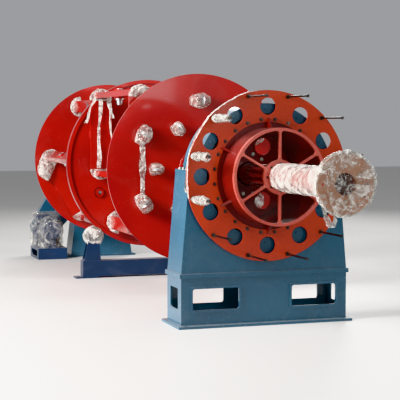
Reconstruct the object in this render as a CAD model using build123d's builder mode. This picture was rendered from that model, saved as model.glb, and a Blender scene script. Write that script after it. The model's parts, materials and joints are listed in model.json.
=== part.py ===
from build123d import *
import os
from math import cos, radians, sin

# Layout along the machine. Y runs from the front to the back, and y = 0 is the middle of the front stand
axis_height = 1450.0
front_disc_y = 1850.0
bay_length = 2080.0
rear_stand_distance = 585.0

# Clearances
running_gap = 0.3
seat_fit = 0.2
moving_gap = 20.0

# Front pedestal
stand_depth = 450.0
stand_plate = 16.0
pedestal_width = 1720.0
pedestal_height = 500.0
foot_thickness = 25.0
foot_margin_x = 40.0
foot_margin_y = 65.0
ledge_thickness = 20.0
ledge_margin = 18.0
window_width = 470.0
window_height = 205.0
window_centre_x = 510.0
window_centre_z = 272.0
window_corner = 22.0
window_frame = 24.0
window_frame_depth = 10.0
side_window_width = 240.0
anchor_radius = 14.0

# Front stand above the pedestal, and the bearing in it
stand_top_width = 1560.0
saddle_wall = 40.0
stand_top_plate = 30.0
housing_radius = 700.0
housing_wall = 100.0
cap_flange_height = 60.0
bearing_width = 200.0
bearing_lip_width = 40.0
bearing_lip_height = 45.0

# Drum and spoked wheel
drum_radius = 465.0
drum_wall = 18.0
drum_nose = 284.0
drum_tail = 60.0
drum_flange_radius = 575.0
drum_flange_thickness = 20.0
gusset_count = 6
gusset_length = 90.0
gusset_height = 90.0
gusset_thickness = 16.0
wheel_thickness = 40.0
wheel_rim = 28.0
spoke_count = 6
spoke_angle = 30.0
spoke_width = 20.0
wheel_hub_radius = 150.0
wheel_hub_length = 90.0
wheel_hub_band = 14.0
wheel_window_corner = 28.0
web_thickness = 25.0
web_hole_radius = 85.0
web_hole_circle_radius = 315.0

# Front tube and face plate
tube_radius = 110.0
tube_wall = 15.0
tube_reach = 1410.0
face_plate_radius = 258.0
face_plate_thickness = 25.0
face_hole_count = 12
face_hole_radius = 14.0
face_hole_circle_radius = 200.0

# Filler disc and its pins
filler_radius = 825.0
filler_bore_radius = 520.0
filler_thickness = 16.0
filler_hole_count = 12
filler_hole_radius = 82.0
filler_hole_circle_radius = 670.0
pin_count = 12
pin_angle = 15.0
pin_circle_radius = 788.0
pin_radius = 9.0
pin_length = 480.0
pin_collar_radius = 20.0
pin_collar_length = 26.0
pin_stop_radius = 15.0
pin_stop_length = 10.0

# Cage
cage_radius = 1060.0
cage_plate = 30.0
track_width = 80.0
track_height = 45.0
hub_radius = 225.0
hub_side = 45.0
shaft_radius = 160.0
shaft_bore_radius = 118.0
shaft_flange_radius = 235.0
shaft_flange_thickness = 30.0
journal_radius = 140.0
journal_overhang = 20.0
pivot_inset = 320.0
pivot_bearing_radius = 130.0
pivot_bearing_length = 50.0
pivot_bearing_chamfer = 12.0
front_bay_angle = 30.0
rear_bay_angle = 90.0
guide_hole_radius = 50.0
guide_ring_radius = 78.0
guide_ring_length = 26.0

# Cradles. Each end plate is a long plate with round ends, turned to its own angle
cradle_half_reach = 560.0
cradle_end_height = 270.0
cradle_end_thickness = 40.0
cradle_gap = 35.0
cradle_boss_radius = 95.0
cradle_boss_length = 14.0
cradle_journal_radius = 55.0
cradle_journal_bore = 28.0
cradle_nose = 30.0
beam_width = 70.0
beam_height = 160.0
beam_wall = 8.0
beam_inset = 75.0
pintle_seat_radius = 62.0
pintle_seat_inside = 20.0
pintle_radius = 36.0
pintle_outside = 8.0
pintle_flange_radius = 56.0
pintle_flange_thickness = 14.0
pintle_reach = 62.0
pintle_taper = 22.0
pintle_tip_radius = 27.0
front_bay_turns = (120.0, 90.0, 0.0)
rear_bay_turns = (0.0, 120.0, 60.0)

# Guide sheaves on the cage discs
outer_sheave_offset = 20.0
outer_sheave_angle = 30.0
inner_sheave_circle_radius = 515.0
inner_sheave_angle = 0.0
inner_stand_off = 95.0
sheave_count = 6
sheave_radius = 66.0
sheave_width = 34.0
sheave_groove = 14.0
sheave_axle_radius = 12.0
cheek_thickness = 10.0
cheek_width = 76.0
cheek_gap = 3.0
bracket_foot_thickness = 12.0
bracket_foot_width = 24.0

# Roller base under the middle disc
roller_radius = 110.0
roller_width = 84.0
roller_angle = 52.0
roller_pin_radius = 25.0
roller_cheek_gap = 8.0
roller_cheek = 16.0
roller_cheek_top = 62.0
roller_cheek_spread = 130.0
roller_base_width = 1740.0
roller_base_depth = 150.0
roller_axle_rise = 307.0
roller_bracket_plate = 16.0
roller_base_wall = 12.0
roller_pad_length = 300.0
roller_pad_margin = 90.0
roller_pad_thickness = 20.0
roller_anchor_inset = 45.0

# Rear stand, rear bearing, drive guard and drive unit
rear_stand_depth = 360.0
rear_foot_width = 920.0
rear_top_width = 620.0
rear_foot_margin = 60.0
rear_block_width = 560.0
rear_block_depth = 240.0
rear_block_base = 60.0
rear_housing_radius = 215.0
rear_flange_width = 470.0
rear_flange_height = 45.0
guard_depth = 150.0
guard_plate = 6.0
guard_big_radius = 330.0
guard_small_radius = 190.0
guard_core_radius = 128.0
drive_x = -780.0
drive_z = 420.0
drive_base_height = 160.0
drive_base_width = 420.0
drive_base_wall = 14.0
drive_base_window = 90.0
gearbox_width = 340.0
gearbox_height = 470.0
gearbox_length = 270.0
gearbox_corner = 34.0
gearbox_flange = 24.0
gearbox_flange_height = 36.0
gearbox_rib_depth = 14.0
gearbox_rib_width = 16.0
gearbox_rib_spacing = 150.0
motor_radius = 125.0
motor_length = 330.0
motor_cowl_radius = 132.0
motor_cowl_length = 60.0
motor_foot_width = 230.0
motor_foot_thickness = 18.0
terminal_box_size = 110.0
terminal_box_height = 60.0

# Places worked out from the sizes above
middle_disc_y = front_disc_y + bay_length
rear_disc_y = middle_disc_y + bay_length
rear_stand_y = rear_disc_y + rear_stand_distance
rear_face_y = rear_stand_y + rear_stand_depth / 2
stand_front_y = -stand_depth / 2
front_face_y = front_disc_y - cage_plate / 2
drum_flange_y = stand_front_y - moving_gap
filler_rear_y = drum_flange_y - drum_flange_thickness
filler_front_y = filler_rear_y - filler_thickness
wheel_rear_y = filler_front_y - drum_nose
wheel_front_y = wheel_rear_y - wheel_thickness
drum_end_y = stand_depth / 2 + drum_tail
web_front_y = drum_end_y - web_thickness
face_plate_y = wheel_front_y - tube_reach
shaft_end_y = rear_face_y + journal_overhang
rear_journal_y = rear_stand_y - rear_block_depth / 2 - moving_gap
seat_radius = housing_radius - housing_wall
pivot_circle_radius = cage_radius - pivot_inset
outer_sheave_circle_radius = pivot_circle_radius + outer_sheave_offset
bay_half = (bay_length - cage_plate) / 2
cradle_half_length = bay_half - pivot_bearing_length - cradle_gap
beam_centre = cradle_half_reach - beam_inset
rear_block_z = axis_height - rear_housing_radius
roller_drop = cage_radius + running_gap + roller_radius
roller_x = roller_drop * cos(radians(roller_angle))
roller_z = axis_height - roller_drop * sin(radians(roller_angle))
roller_base_height = roller_z - roller_axle_rise

rotor_axis = Axis((0, 0, axis_height), (0, 1, 0))


def across(y):
    """Plane square to the rotor axis and centred on it, seen from the front: extrusions come forward."""
    return Plane(origin=(0, y, axis_height), x_dir=(1, 0, 0), z_dir=(0, -1, 0))


def upright(y):
    """The same plane with its origin on the floor."""
    return Plane(origin=(0, y, 0), x_dir=(1, 0, 0), z_dir=(0, -1, 0))


def radial(angle):
    """Plane through the rotor axis: local X runs back along it, local Y outwards at the angle."""
    turn = radians(angle)
    return Plane(origin=(0, 0, axis_height), x_dir=(0, 1, 0), z_dir=(sin(turn), 0, -cos(turn)))


def on_circle(radius, angle):
    return (radius * cos(radians(angle)), radius * sin(radians(angle)))


def save(part, label):
    part.label = label
    export_step(part, f"parts/{label}.step")


os.makedirs("parts", exist_ok=True)

# Front pedestal: foot plate, four walls with framed windows, ledge plate on top
with BuildPart() as front_pedestal:
    with BuildSketch(Plane.XY):
        Rectangle(pedestal_width + 2 * foot_margin_x, stand_depth + 2 * foot_margin_y)
    extrude(amount=foot_thickness)
    with BuildSketch(Plane.XY.offset(foot_thickness)):
        Rectangle(pedestal_width, stand_depth)
        Rectangle(pedestal_width - 2 * stand_plate, stand_depth - 2 * stand_plate, mode=Mode.SUBTRACT)
    extrude(amount=pedestal_height - foot_thickness - ledge_thickness)
    with BuildSketch(Plane.XY.offset(pedestal_height - ledge_thickness)):
        Rectangle(pedestal_width + 2 * ledge_margin, stand_depth + 2 * ledge_margin)
    extrude(amount=ledge_thickness)
    with BuildSketch(upright(stand_depth / 2 + window_frame_depth)):
        with Locations((-window_centre_x, window_centre_z), (window_centre_x, window_centre_z)):
            RectangleRounded(
                window_width + 2 * window_frame, window_height + 2 * window_frame, window_corner
            )
    extrude(amount=stand_plate + window_frame_depth)
    with BuildSketch(upright(-stand_depth / 2 + stand_plate)):
        with Locations((-window_centre_x, window_centre_z), (window_centre_x, window_centre_z)):
            RectangleRounded(
                window_width + 2 * window_frame, window_height + 2 * window_frame, window_corner
            )
    extrude(amount=stand_plate + window_frame_depth)
    with BuildSketch(upright(0)):
        with Locations((-window_centre_x, window_centre_z), (window_centre_x, window_centre_z)):
            RectangleRounded(window_width, window_height, window_corner)
    extrude(amount=stand_depth, both=True, mode=Mode.SUBTRACT)
    with BuildSketch(Plane.YZ):
        with Locations((0, window_centre_z)):
            RectangleRounded(side_window_width, window_height, window_corner)
    extrude(amount=pedestal_width, both=True, mode=Mode.SUBTRACT)
    with BuildSketch(Plane.XY):
        with GridLocations(pedestal_width - 2 * foot_margin_x, stand_depth + foot_margin_y, 2, 2):
            Circle(anchor_radius)
    extrude(amount=foot_thickness, mode=Mode.SUBTRACT)
save(front_pedestal.part, "front_pedestal")

# Front stand: tapered hollow body with a round saddle for the bearing
with BuildPart() as front_stand:
    with BuildSketch(Plane.XY.offset(pedestal_height)):
        Rectangle(pedestal_width + 2 * ledge_margin, stand_depth + 2 * ledge_margin)
    extrude(amount=ledge_thickness)
    with BuildSketch(upright(stand_depth / 2)):
        with BuildLine():
            Polyline(
                (-pedestal_width / 2, pedestal_height + ledge_thickness),
                (pedestal_width / 2, pedestal_height + ledge_thickness),
                (stand_top_width / 2, axis_height),
                (-stand_top_width / 2, axis_height),
                close=True,
            )
        make_face()
    extrude(amount=stand_depth)
    with BuildSketch(upright(stand_depth / 2 - stand_plate)):
        with BuildLine():
            Polyline(
                (-pedestal_width / 2 + stand_plate, pedestal_height + ledge_thickness),
                (pedestal_width / 2 - stand_plate, pedestal_height + ledge_thickness),
                (stand_top_width / 2 - stand_plate, axis_height - stand_top_plate),
                (-stand_top_width / 2 + stand_plate, axis_height - stand_top_plate),
                close=True,
            )
        make_face()
        with Locations((0, axis_height)):
            Circle(seat_radius + saddle_wall, mode=Mode.SUBTRACT)
    extrude(amount=stand_depth - 2 * stand_plate, mode=Mode.SUBTRACT)
    with BuildSketch(across(stand_depth / 2)):
        Circle(seat_radius)
    extrude(amount=stand_depth, mode=Mode.SUBTRACT)
save(front_stand.part, "front_stand")

# Bearing cap: the upper half of the round housing, with a bolting flange on each side
below_axis = (Align.CENTER, Align.MAX)
with BuildPart() as bearing_cap:
    with BuildSketch(across(stand_depth / 2)):
        Circle(housing_radius)
        Rectangle(stand_top_width, 2 * cap_flange_height)
        Circle(seat_radius, mode=Mode.SUBTRACT)
        Rectangle(2 * stand_top_width, 2 * housing_radius, align=below_axis, mode=Mode.SUBTRACT)
    extrude(amount=stand_depth)
    with BuildSketch(across(stand_depth / 2 - stand_plate)):
        Circle(housing_radius - stand_plate)
        Circle(seat_radius + saddle_wall, mode=Mode.SUBTRACT)
        with Locations((0, cap_flange_height)):
            Rectangle(2 * stand_top_width, 2 * housing_radius, align=below_axis, mode=Mode.SUBTRACT)
    extrude(amount=stand_depth - 2 * stand_plate, mode=Mode.SUBTRACT)
save(bearing_cap.part, "bearing_cap")

# Front bearing: outer ring with a seal lip on each side, turned in one profile
with BuildPart() as front_bearing:
    with BuildSketch(radial(90)):
        with BuildLine():
            bore = drum_radius + running_gap
            rim = seat_radius - seat_fit
            Polyline(
                (-bearing_width / 2, bore),
                (bearing_width / 2, bore),
                (bearing_width / 2, rim - bearing_lip_height),
                (bearing_width / 2 - bearing_lip_width, rim),
                (-bearing_width / 2 + bearing_lip_width, rim),
                (-bearing_width / 2, rim - bearing_lip_height),
                close=True,
            )
        make_face()
    revolve(axis=rotor_axis)
save(front_bearing.part, "front_bearing")

# Front drum: turned shell with the flange that carries the filler disc, and gussets in front of it
with BuildPart() as front_drum:
    with BuildSketch(radial(90)):
        with BuildLine():
            inside = drum_radius - drum_wall
            Polyline(
                (wheel_rear_y, inside),
                (web_front_y, inside),
                (web_front_y, drum_radius),
                (drum_flange_y, drum_radius),
                (drum_flange_y, drum_flange_radius),
                (filler_rear_y, drum_flange_radius),
                (filler_rear_y, drum_radius),
                (wheel_rear_y, drum_radius),
                close=True,
            )
        make_face()
    revolve(axis=rotor_axis)
    for step in range(gusset_count):
        with BuildSketch(radial(spoke_angle + step * 360 / gusset_count)):
            with BuildLine():
                Polyline(
                    (filler_front_y, drum_radius - drum_wall / 2),
                    (filler_front_y, drum_radius + gusset_height),
                    (filler_front_y - gusset_length / 3, drum_radius + gusset_height),
                    (filler_front_y - gusset_length, drum_radius - drum_wall / 2),
                    close=True,
                )
            make_face()
        extrude(amount=gusset_thickness / 2, both=True)
save(front_drum.part, "front_drum")

# Drum web: plate at the rear of the drum with a round hole for each strand
with BuildPart() as drum_web:
    with BuildSketch(across(drum_end_y)):
        Circle(drum_radius)
        Circle(shaft_bore_radius, mode=Mode.SUBTRACT)
        with PolarLocations(web_hole_circle_radius, spoke_count, start_angle=0):
            Circle(web_hole_radius, mode=Mode.SUBTRACT)
    extrude(amount=web_thickness)
save(drum_web.part, "drum_web")

# Spoked wheel: thick plate with round-cornered windows between the spokes, and a long hub
with BuildPart() as spoke_wheel:
    with BuildSketch(across(wheel_rear_y)):
        Circle(drum_radius)
    extrude(amount=wheel_thickness)
    with BuildSketch(across(wheel_rear_y)) as windows:
        Circle(drum_radius - wheel_rim)
        Circle(wheel_hub_radius + wheel_hub_band, mode=Mode.SUBTRACT)
        with PolarLocations(0, spoke_count, start_angle=spoke_angle):
            Rectangle(drum_radius, spoke_width, align=(Align.MIN, Align.CENTER), mode=Mode.SUBTRACT)
        fillet(windows.vertices(), wheel_window_corner)
    extrude(amount=wheel_thickness, mode=Mode.SUBTRACT)
    with BuildSketch(across(wheel_front_y + wheel_hub_length)):
        Circle(wheel_hub_radius)
    extrude(amount=wheel_hub_length)
    with BuildSketch(across(wheel_front_y + wheel_hub_length)):
        Circle(tube_radius + seat_fit)
    extrude(amount=wheel_hub_length, mode=Mode.SUBTRACT)
save(spoke_wheel.part, "spoke_wheel")

# Front tube, from the drum web to the face plate
with BuildPart() as front_tube:
    with BuildSketch(across(web_front_y)):
        Circle(tube_radius)
        Circle(tube_radius - tube_wall, mode=Mode.SUBTRACT)
    extrude(amount=web_front_y - face_plate_y)
save(front_tube.part, "front_tube")

# Face plate with a ring of strand holes
with BuildPart() as face_plate:
    with BuildSketch(across(face_plate_y)):
        Circle(face_plate_radius)
        Circle(tube_radius - tube_wall, mode=Mode.SUBTRACT)
        with PolarLocations(face_hole_circle_radius, face_hole_count):
            Circle(face_hole_radius, mode=Mode.SUBTRACT)
    extrude(amount=face_plate_thickness)
save(face_plate.part, "face_plate")

# Filler disc with its round holes
with BuildPart() as filler_disc:
    with BuildSketch(across(filler_rear_y)):
        Circle(filler_radius)
        Circle(filler_bore_radius, mode=Mode.SUBTRACT)
        with PolarLocations(filler_hole_circle_radius, filler_hole_count):
            Circle(filler_hole_radius, mode=Mode.SUBTRACT)
    extrude(amount=filler_thickness)
save(filler_disc.part, "filler_disc")

# Filler pins: rods with a collar at the disc and a stop at the tip
with BuildPart() as filler_pins:
    with BuildSketch(across(filler_front_y)):
        with PolarLocations(pin_circle_radius, pin_count, start_angle=pin_angle):
            Circle(pin_collar_radius)
    extrude(amount=pin_collar_length)
    with BuildSketch(across(filler_front_y - pin_collar_length)):
        with PolarLocations(pin_circle_radius, pin_count, start_angle=pin_angle):
            Circle(pin_radius)
    extrude(amount=pin_length - pin_collar_length)
    with BuildSketch(across(filler_front_y - pin_length)):
        with PolarLocations(pin_circle_radius, pin_count, start_angle=pin_angle):
            Circle(pin_stop_radius)
    extrude(amount=pin_stop_length)
save(filler_pins.part, "filler_pins")

# Main shaft: hollow, with a flange at the drum web and a turned-down journal at the rear
with BuildPart() as main_shaft:
    with BuildSketch(radial(90)):
        with BuildLine():
            Polyline(
                (drum_end_y, shaft_bore_radius),
                (drum_end_y, shaft_flange_radius),
                (drum_end_y + shaft_flange_thickness, shaft_flange_radius),
                (drum_end_y + shaft_flange_thickness, shaft_radius),
                (rear_journal_y, shaft_radius),
                (rear_journal_y, journal_radius),
                (shaft_end_y, journal_radius),
                (shaft_end_y, shaft_bore_radius),
                close=True,
            )
        make_face()
    revolve(axis=rotor_axis)
save(main_shaft.part, "main_shaft")


def cage_disc(y, journal_angles, guide_angles, track):
    """Disc with a welded hub; holes for cradle journals and for strands; a wide track where it rolls."""
    with BuildPart() as disc:
        with BuildSketch(across(y + cage_plate / 2)):
            Circle(cage_radius)
        extrude(amount=cage_plate)
        with BuildSketch(across(y + cage_plate / 2 + hub_side)):
            Circle(hub_radius)
        extrude(amount=cage_plate + 2 * hub_side)
        if track:
            with BuildSketch(across(y + track_width / 2)):
                Circle(cage_radius)
                Circle(cage_radius - track_height, mode=Mode.SUBTRACT)
            extrude(amount=track_width)
        with BuildSketch(across(y + cage_plate / 2 + hub_side)):
            Circle(shaft_radius + seat_fit)
            for angle in journal_angles:
                with PolarLocations(pivot_circle_radius, 3, start_angle=angle):
                    Circle(cradle_journal_radius + moving_gap / 2)
            for angle in guide_angles:
                with PolarLocations(pivot_circle_radius, 3, start_angle=angle):
                    Circle(guide_hole_radius)
        extrude(amount=cage_plate + 2 * hub_side, mode=Mode.SUBTRACT)
    return disc.part


save(cage_disc(front_disc_y, [front_bay_angle], [rear_bay_angle], False), "cage_disc_front")
save(cage_disc(middle_disc_y, [front_bay_angle, rear_bay_angle], [], True), "cage_disc_middle")
save(cage_disc(rear_disc_y, [rear_bay_angle], [], False), "cage_disc_rear")


def pivot_bearings(places):
    """Flanged bearings on disc faces; a place is the housing's rear y, outer end y and first angle."""
    with BuildPart() as bearings:
        for rear_y, outer_end_y, angle in places:
            with BuildSketch(across(rear_y)):
                with PolarLocations(pivot_circle_radius, 3, start_angle=angle):
                    Circle(pivot_bearing_radius)
            extrude(amount=pivot_bearing_length)
            outer = bearings.edges().filter_by(GeomType.CIRCLE).filter_by_position(
                Axis.Y, outer_end_y - 0.1, outer_end_y + 0.1
            )
            chamfer(outer, pivot_bearing_chamfer)
            with BuildSketch(across(rear_y)):
                with PolarLocations(pivot_circle_radius, 3, start_angle=angle):
                    Circle(cradle_journal_radius + running_gap)
            extrude(amount=pivot_bearing_length, mode=Mode.SUBTRACT)
    return bearings.part


def behind(disc_y):
    face = disc_y + cage_plate / 2
    return face + pivot_bearing_length, face + pivot_bearing_length


def ahead(disc_y):
    face = disc_y - cage_plate / 2
    return face, face - pivot_bearing_length


save(pivot_bearings([(*behind(front_disc_y), front_bay_angle)]), "cage_bearings_front")
save(
    pivot_bearings([(*ahead(middle_disc_y), front_bay_angle), (*behind(middle_disc_y), rear_bay_angle)]),
    "cage_bearings_middle",
)
save(pivot_bearings([(*ahead(rear_disc_y), rear_bay_angle)]), "cage_bearings_rear")

# Guide rings round the strand holes of the front disc
with BuildPart() as guide_rings:
    with BuildSketch(across(front_disc_y + cage_plate / 2 + guide_ring_length)):
        with PolarLocations(pivot_circle_radius, 3, start_angle=rear_bay_angle):
            Circle(guide_ring_radius)
        with PolarLocations(pivot_circle_radius, 3, start_angle=rear_bay_angle):
            Circle(guide_hole_radius, mode=Mode.SUBTRACT)
    extrude(amount=guide_ring_length)
save(guide_rings.part, "guide_rings")


def sheave_set(circle, start_angle, cheek_inner, stand_off):
    """Brackets and grooved sheaves standing forward of the front disc, each in its own radial plane."""
    axle_y = front_face_y - stand_off
    cheek_outer = cheek_inner + cheek_thickness
    with BuildPart() as brackets:
        for step in range(sheave_count):
            plane = radial(start_angle + step * 360 / sheave_count)
            with BuildSketch(plane):
                with Locations((front_face_y, circle)):
                    Rectangle(bracket_foot_thickness, cheek_width, align=(Align.MAX, Align.CENTER))
            extrude(amount=cheek_outer + bracket_foot_width, both=True)
            with BuildSketch(plane):
                with Locations((axle_y, circle)):
                    Circle(cheek_width / 2)
                    Rectangle(stand_off, cheek_width, align=(Align.MIN, Align.CENTER))
            extrude(amount=cheek_outer, both=True)
            with BuildSketch(plane):
                with Locations((front_face_y, circle)):
                    Rectangle(2 * (stand_off + cheek_width), 2 * cheek_width)
            extrude(amount=cheek_inner, both=True, mode=Mode.SUBTRACT)
            with BuildSketch(plane):
                with Locations((axle_y, circle)):
                    Circle(sheave_axle_radius)
            extrude(amount=cheek_outer, both=True)
    with BuildPart() as sheaves:
        for step in range(sheave_count):
            plane = radial(start_angle + step * 360 / sheave_count)
            centre = plane.from_local_coords((axle_y, circle, 0))
            with BuildSketch(Plane(origin=centre, x_dir=plane.x_dir, z_dir=plane.y_dir)):
                with BuildLine():
                    Polyline(
                        (sheave_axle_radius + running_gap, -sheave_width / 2),
                        (sheave_radius, -sheave_width / 2),
                        (sheave_radius - sheave_groove, 0),
                        (sheave_radius, sheave_width / 2),
                        (sheave_axle_radius + running_gap, sheave_width / 2),
                        close=True,
                    )
                make_face()
            revolve(axis=Axis(centre, plane.z_dir))
    return brackets.part, sheaves.part


nose_clearance = cradle_journal_radius + moving_gap / 2
outer_stand_off = cradle_nose + moving_gap / 2 + sheave_radius
sheave_sets = {
    "outer": (outer_sheave_circle_radius, outer_sheave_angle, nose_clearance, outer_stand_off),
    "inner": (inner_sheave_circle_radius, inner_sheave_angle, sheave_width / 2 + cheek_gap, inner_stand_off),
}
for ring, sizes in sheave_sets.items():
    ring_brackets, ring_sheaves = sheave_set(*sizes)
    save(ring_brackets, f"{ring}_sheave_brackets")
    save(ring_sheaves, f"{ring}_sheaves")


def cradle(bay_start_y, angle, turn, number):
    """One cradle: frame with journals, and the pair of pintles that would hold a bobbin."""
    x, up = on_circle(pivot_circle_radius, angle)
    middle_y = bay_start_y + bay_length / 2
    tilt = radians(turn)

    def local(offset):
        return Plane(
            origin=(x, middle_y + offset, axis_height + up),
            x_dir=(cos(tilt), 0, sin(tilt)),
            z_dir=(0, -1, 0),
        )

    inner = cradle_half_length - cradle_end_thickness
    journal_reach = pivot_bearing_length + cradle_gap + cage_plate
    sideways = Plane(origin=local(0).origin, x_dir=(0, 1, 0), z_dir=local(0).x_dir)
    with BuildPart() as frame:
        for rear_y in (-inner, cradle_half_length):
            with BuildSketch(local(rear_y)):
                SlotOverall(2 * cradle_half_reach, cradle_end_height)
            extrude(amount=cradle_end_thickness)
        for rear_y in (-cradle_half_length, cradle_half_length + cradle_boss_length):
            with BuildSketch(local(rear_y)):
                Circle(cradle_boss_radius)
            extrude(amount=cradle_boss_length)
        with BuildSketch(local(inner)):
            with Locations((-beam_centre, 0), (beam_centre, 0)):
                Rectangle(beam_width, beam_height)
                Rectangle(beam_width - 2 * beam_wall, beam_height - 2 * beam_wall, mode=Mode.SUBTRACT)
        extrude(amount=2 * inner)
        with BuildSketch(local(-cradle_half_length)):
            Circle(cradle_journal_radius)
        extrude(amount=journal_reach + cradle_nose)
        with BuildSketch(local(cradle_half_length + journal_reach)):
            Circle(cradle_journal_radius)
        extrude(amount=journal_reach)
        with BuildSketch(local(-inner)):
            Circle(cradle_journal_bore)
        extrude(amount=cradle_end_thickness + journal_reach + cradle_nose, mode=Mode.SUBTRACT)
        for side in (-1, 1):
            seat_start = beam_centre - beam_width / 2 - pintle_seat_inside
            seat_end = beam_centre + beam_width / 2 + pintle_seat_inside
            with BuildSketch(sideways.offset(side * seat_start)):
                Circle(pintle_seat_radius)
            extrude(amount=side * (seat_end - seat_start))
            with BuildSketch(sideways.offset(side * seat_start)):
                Circle(pintle_radius + seat_fit)
            extrude(amount=side * (seat_end - seat_start), mode=Mode.SUBTRACT)
    save(frame.part, f"cradle_{number}_frame")
    with BuildPart() as pintles:
        for side in (-1, 1):
            seat_start = beam_centre - beam_width / 2 - pintle_seat_inside
            seat_end = beam_centre + beam_width / 2 + pintle_seat_inside
            flange_start = seat_start - pintle_flange_thickness
            tip = flange_start - pintle_reach
            profile = Plane(origin=local(0).origin, x_dir=local(0).x_dir, z_dir=(0, -1, 0))
            with BuildSketch(profile):
                with BuildLine():
                    Polyline(
                        (side * (seat_end + pintle_outside), 0),
                        (side * (seat_end + pintle_outside), pintle_radius),
                        (side * seat_start, pintle_radius),
                        (side * seat_start, pintle_flange_radius),
                        (side * flange_start, pintle_flange_radius),
                        (side * flange_start, pintle_radius),
                        (side * (tip + pintle_taper), pintle_radius),
                        (side * tip, pintle_tip_radius),
                        (side * tip, 0),
                        close=True,
                    )
                make_face()
            revolve(axis=Axis(profile.origin, profile.x_dir))
    save(pintles.part, f"cradle_{number}_pintles")


for bay, (bay_start_y, first_angle, turns) in enumerate(
    ((front_disc_y, front_bay_angle, front_bay_turns), (middle_disc_y, rear_bay_angle, rear_bay_turns))
):
    for place, cradle_turn in enumerate(turns):
        cradle(bay_start_y, first_angle + place * 120, cradle_turn, 3 * bay + place + 1)

# Roller base: hollow beam across the machine on two pads
with BuildPart() as roller_base:
    with BuildSketch(Plane.XY.offset(roller_pad_thickness)):
        with Locations((0, middle_disc_y)):
            Rectangle(roller_base_width, roller_base_depth)
    extrude(amount=roller_base_height - roller_pad_thickness)
    with BuildSketch(Plane.XY.offset(roller_pad_thickness + roller_base_wall)):
        with Locations((0, middle_disc_y)):
            Rectangle(roller_base_width - 2 * roller_base_wall, roller_base_depth - 2 * roller_base_wall)
    extrude(amount=roller_base_height - roller_pad_thickness - 2 * roller_base_wall, mode=Mode.SUBTRACT)
    pad_x = roller_base_width / 2 + roller_pad_margin - roller_pad_length / 2
    with BuildSketch(Plane.XY):
        with Locations((-pad_x, middle_disc_y), (pad_x, middle_disc_y)):
            Rectangle(roller_pad_length, roller_base_depth)
    extrude(amount=roller_pad_thickness)
    anchor_x = roller_base_width / 2 + roller_anchor_inset
    with BuildSketch(Plane.XY):
        with Locations((-anchor_x, middle_disc_y), (anchor_x, middle_disc_y)):
            Circle(anchor_radius)
    extrude(amount=roller_pad_thickness, mode=Mode.SUBTRACT)
save(roller_base.part, "roller_base")

# Roller brackets and rollers, one pair on each side of the disc's lowest point
for side_name, side in (("left", -1), ("right", 1)):
    cheek_inner = roller_width / 2 + roller_cheek_gap
    with BuildPart() as bracket:
        with BuildSketch(upright(middle_disc_y)):
            with BuildLine():
                Polyline(
                    (side * roller_x - roller_cheek_spread, roller_base_height),
                    (side * roller_x + roller_cheek_spread - roller_pad_margin / 2, roller_base_height),
                    (side * roller_x + roller_cheek_top, roller_z),
                    (side * roller_x - roller_cheek_top, roller_z),
                    close=True,
                )
            make_face()
            with Locations((side * roller_x, roller_z)):
                Circle(roller_cheek_top)
        extrude(amount=cheek_inner + roller_cheek, both=True)
        with BuildSketch(upright(middle_disc_y)):
            with Locations((side * roller_x, roller_base_height + roller_bracket_plate)):
                Rectangle(4 * roller_radius, 2 * roller_z, align=(Align.CENTER, Align.MIN))
        extrude(amount=cheek_inner, both=True, mode=Mode.SUBTRACT)
        with BuildSketch(upright(middle_disc_y)):
            with Locations((side * roller_x, roller_z)):
                Circle(roller_pin_radius)
        extrude(amount=cheek_inner + roller_cheek, both=True)
    save(bracket.part, f"roller_bracket_{side_name}")
    with BuildPart() as roller:
        centre = (side * roller_x, middle_disc_y, roller_z)
        with BuildSketch(Plane(origin=centre, x_dir=(0, 1, 0), z_dir=(1, 0, 0))):
            with BuildLine():
                bore = roller_pin_radius + running_gap
                Polyline(
                    (-roller_width / 2, bore),
                    (roller_width / 2, bore),
                    (roller_width / 2, roller_radius),
                    (-roller_width / 2, roller_radius),
                    close=True,
                )
            make_face()
        revolve(axis=Axis(centre, (0, 1, 0)))
    save(roller.part, f"support_roller_{side_name}")

# Rear stand: tapered hollow pedestal under the rear bearing
with BuildPart() as rear_stand:
    with BuildSketch(Plane.XY):
        with Locations((0, rear_stand_y)):
            Rectangle(rear_foot_width + 2 * rear_foot_margin, rear_stand_depth)
    extrude(amount=foot_thickness)
    with BuildSketch(upright(rear_face_y)):
        with BuildLine():
            Polyline(
                (-rear_foot_width / 2, foot_thickness),
                (rear_foot_width / 2, foot_thickness),
                (rear_top_width / 2, rear_block_z - rear_block_base),
                (-rear_top_width / 2, rear_block_z - rear_block_base),
                close=True,
            )
        make_face()
    extrude(amount=rear_stand_depth)
    with BuildSketch(upright(rear_face_y - stand_plate)):
        with BuildLine():
            Polyline(
                (-rear_foot_width / 2 + stand_plate, foot_thickness),
                (rear_foot_width / 2 - stand_plate, foot_thickness),
                (rear_top_width / 2 - stand_plate, rear_block_z - rear_block_base - stand_top_plate),
                (-rear_top_width / 2 + stand_plate, rear_block_z - rear_block_base - stand_top_plate),
                close=True,
            )
        make_face()
    extrude(amount=rear_stand_depth - 2 * stand_plate, mode=Mode.SUBTRACT)
    with BuildSketch(Plane.XY):
        with Locations((0, rear_stand_y)):
            with GridLocations(rear_foot_width + rear_foot_margin, rear_stand_depth / 2, 2, 2):
                Circle(anchor_radius)
    extrude(amount=foot_thickness, mode=Mode.SUBTRACT)
save(rear_stand.part, "rear_stand")

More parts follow.
